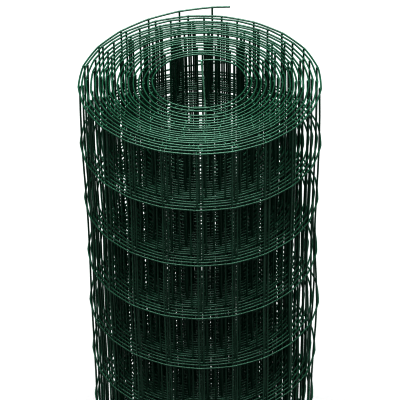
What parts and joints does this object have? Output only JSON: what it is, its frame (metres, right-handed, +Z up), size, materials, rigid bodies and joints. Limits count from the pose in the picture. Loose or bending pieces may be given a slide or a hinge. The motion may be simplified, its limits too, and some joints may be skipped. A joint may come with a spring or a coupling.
{
  "type": "roll of wire fencing",
  "caption": "Roll of green plastic-coated welded wire mesh standing on its end, with an open bore, spiral turns and a loose outer end.",
  "frame": {"origin": "centre of the bore, at the level of the end that the roll stands on", "axes": "+Z up along the bore; -Y towards the side that faces the viewer, with the loose outer end at +Y"},
  "size_m": [0.3439, 0.3608, 1.02],
  "materials": {
    "green_coated_wire": "semi-gloss moss-green plastic coating over galvanised steel wire"
  },
  "bodies": {
    "root": {"mesh_roll": "green_coated_wire"}
  },
  "joints": []
}
